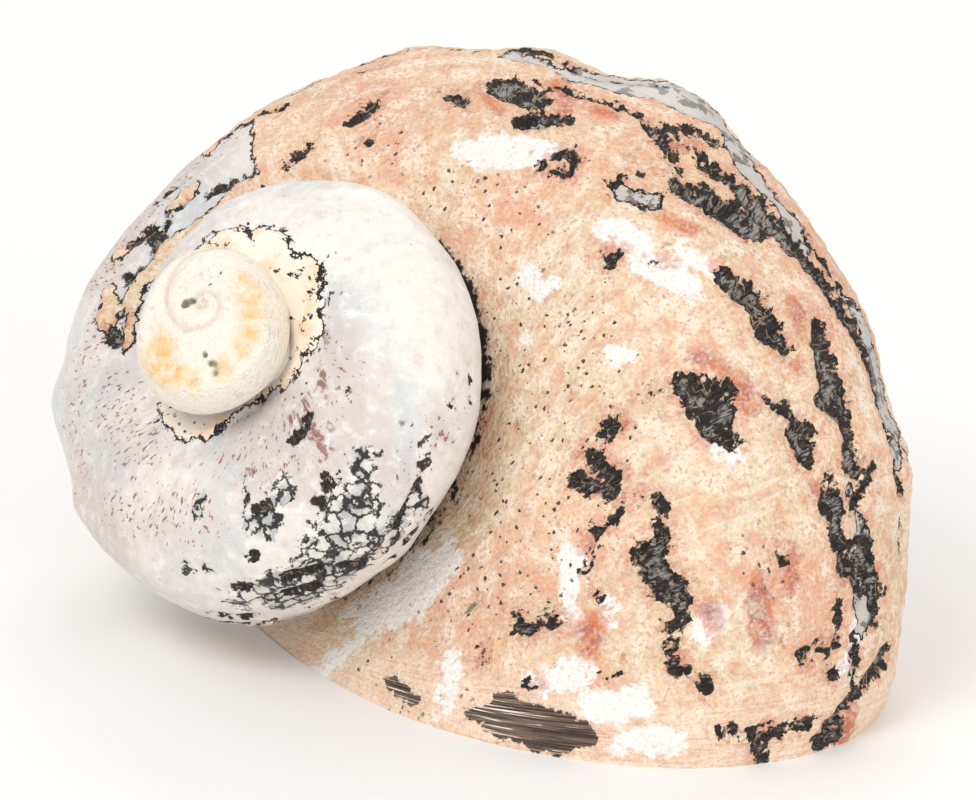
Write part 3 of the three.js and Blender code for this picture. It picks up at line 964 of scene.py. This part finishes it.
# Mother-of-pearl inside the mouth: a smooth lining whose thin layers throw faint pink and green.
def liningMaterial():
    look = mouthFinish
    material, tree, where = startMaterial("pearlLining")
    bands = addNode(tree, "ShaderNodeTexNoise", {},
                    {"Vector": where, "Scale": 1000 / look["bandMm"], "Detail": 4, "Distortion": 1.5})
    fine = addNode(tree, "ShaderNodeTexNoise", {},
                   {"Vector": where, "Scale": 1000 / look["fineMm"], "Detail": 4})
    colour = addNode(tree, "ShaderNodeValToRGB", {}, {"Fac": bands})
    stops = colour.color_ramp.elements
    stops[0].position, stops[0].color = 0.35, linear(look["green"])
    stops[1].position, stops[1].color = 0.65, linear(look["pink"])
    stops.new(0.5).color = linear(look["pearl"])
    bump = addNode(tree, "ShaderNodeBump", {}, {"Height": fine, "Strength": 0.3, "Distance": 0.0003})
    smoothest, roughest = look["liningRoughness"]
    roughness = addNode(tree, "ShaderNodeMapRange", {},
                        {0: fine, 1: 0.3, 2: 0.7, 3: smoothest, 4: roughest})
    surface = addNode(tree, "ShaderNodeBsdfPrincipled", {},
                      {"Base Color": colour, "Roughness": roughness, "Normal": bump, "IOR": look["ior"],
                       "Coat Weight": 0.3, "Coat Roughness": 0.12})
    addNode(tree, "ShaderNodeOutputMaterial", {}, {"Surface": surface})
    return material


# Worn shell edge and callus: dense porcelain-like shell, rubbed cream and faintly layered.
def callusMaterial():
    look = mouthFinish
    material, tree, where = startMaterial("rubbedCallus")
    layers = addNode(tree, "ShaderNodeTexNoise", {},
                     {"Vector": where, "Scale": 1000 / look["layerMm"], "Detail": 5})
    tone = addNode(tree, "ShaderNodeMapRange", {}, {0: layers, 1: 0.45, 2: 0.75})
    colour = addNode(tree, "ShaderNodeMix", {"data_type": "RGBA"},
                     {0: tone, 6: look["callus"], 7: look["pink"]})
    bump = addNode(tree, "ShaderNodeBump", {}, {"Height": layers, "Strength": 0.4, "Distance": 0.0004})
    smoothest, roughest = look["callusRoughness"]
    roughness = addNode(tree, "ShaderNodeMapRange", {},
                        {0: layers, 1: 0.3, 2: 0.7, 3: smoothest, 4: roughest})
    surface = addNode(tree, "ShaderNodeBsdfPrincipled", {},
                      {"Base Color": (colour, 2), "Roughness": roughness, "Normal": bump, "IOR": look["ior"]})
    addNode(tree, "ShaderNodeOutputMaterial", {}, {"Surface": surface})
    return material


# Put the shell together.
print("stage: outer wall")
outerPoints, outerFields, outerKeep = outerWall()
print("stage: bore, rim, disc, pads and pillar")
borePoints = boreWall()
capPoints, capFields = capWall()

# each sheet: points, fields, material, whether its faces turn over
wallKind, liningKind, callusKind = 0, 1, 2
sheets = [
    (outerPoints, outerFields, wallKind, False),
    (borePoints, {}, liningKind, True),
    (rimStrip(outerPoints[-1], borePoints[-1]), {}, callusKind, False),
    (capPoints, capFields, wallKind, False),
    (padPoints(pads["base"]), {}, callusKind, True),
    (padPoints(pads["corner"]), {}, callusKind, True),
    (pillarPoints(), {}, callusKind, True),
]
allPoints, allFaces, faceMaterial, offset = [], [], [], 0
for points, fields, kind, flip in sheets:
    rows, columns = points.shape[:2]
    keep = outerKeep if fields is outerFields else np.ones((rows - 1, columns), bool)
    faces = gridFaces(rows, columns, keep, offset, flip)
    allPoints.append(points.reshape(-1, 3) + apexPlace)
    allFaces.append(faces)
    faceMaterial.append(np.full(len(faces), kind))
    offset += rows * columns
allFields = {name: np.concatenate([np.broadcast_to(fields.get(name, default), points.shape[:2]).ravel()
                                   for points, fields, kind, flip in sheets])
             for name, default in fieldDefaults.items()}
shell = meshFrom("shellSkin", np.concatenate(allPoints), np.concatenate(allFaces), allFields,
                 [shellMaterial(), liningMaterial(), callusMaterial()], np.concatenate(faceMaterial))
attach(shell, "root")
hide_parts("shell")
print("stage: shell made,", len(shell.data.polygons), "faces")


# Floor, light and camera.
studio = {
    "floorColour": "#f4f3f1",
    "floorRoughness": 0.8,
    "floorSize": 6.0,
    "worldColour": "#ffffff",
    "worldStrength": 0.76,
    "cameraTarget": (0.0005, -0.0258, 0.0345),
    "cameraDistance": 0.5639,
    "cameraElevation": 18.46,
    "cameraRoll": 3.87,
    "cameraLens": 206.3,
    "lampTarget": (0, 0, 0.03),
    # name: place in metres, size in metres, power in watts
    "lamps": {
        "keyLamp": ((-0.45, -0.55, 0.75), 0.55, 3.5),
        "fillLamp": ((0.50, -0.80, 0.28), 0.7, 2.4),
        "backLamp": ((0.1, 0.7, 0.7), 0.6, 1.7),
    },
}

half = studio["floorSize"] / 2
corners = [(-half, -half, 0), (half, -half, 0), (half, half, 0), (-half, half, 0)]
floorMesh = bpy.data.meshes.new("floor")
floorMesh.from_pydata(corners, [], [(0, 1, 2, 3)])
paper, tree, where = startMaterial("paleFloor")
paint = addNode(tree, "ShaderNodeBsdfPrincipled", {},
                {"Base Color": studio["floorColour"], "Roughness": studio["floorRoughness"]})
addNode(tree, "ShaderNodeOutputMaterial", {}, {"Surface": paint})
floorMesh.materials.append(paper)
floor = bpy.data.objects.new("floor", floorMesh)
bpy.context.scene.collection.objects.link(floor)

world = bpy.data.worlds.new("softRoom")
world.use_nodes = True
background = world.node_tree.nodes["Background"]
background.inputs["Color"].default_value = linear(studio["worldColour"])
background.inputs["Strength"].default_value = studio["worldStrength"]
bpy.context.scene.world = world

for name, (place, size, power) in studio["lamps"].items():
    lamp = bpy.data.lights.new(name, "AREA")
    lamp.shape = "DISK"
    lamp.size = size
    lamp.energy = power
    holder = bpy.data.objects.new(name, lamp)
    holder.location = place
    holder.rotation_euler = (Vector(studio["lampTarget"]) - Vector(place)).to_track_quat("-Z", "Y").to_euler()
    bpy.context.scene.collection.objects.link(holder)

print("stage: floor and lamps made")

elevation = math.radians(studio["cameraElevation"])
roll = math.radians(studio["cameraRoll"])
toward = Vector((0, -math.cos(elevation), math.sin(elevation)))
levelUp = Vector((0, math.sin(elevation), math.cos(elevation)))
levelRight = Vector((1, 0, 0))
right = levelRight * math.cos(roll) + levelUp * math.sin(roll)
up = levelUp * math.cos(roll) - levelRight * math.sin(roll)
cameraData = bpy.data.cameras.new("camera")
cameraData.lens = studio["cameraLens"]
cameraData.sensor_width = 36
camera = bpy.data.objects.new("camera", cameraData)
camera.matrix_world = Matrix((right, up, toward)).transposed().to_4x4()
camera.location = Vector(studio["cameraTarget"]) + toward * studio["cameraDistance"]
bpy.context.scene.collection.objects.link(camera)
bpy.context.scene.camera = camera
bpy.context.scene.view_settings.view_transform = "Standard"
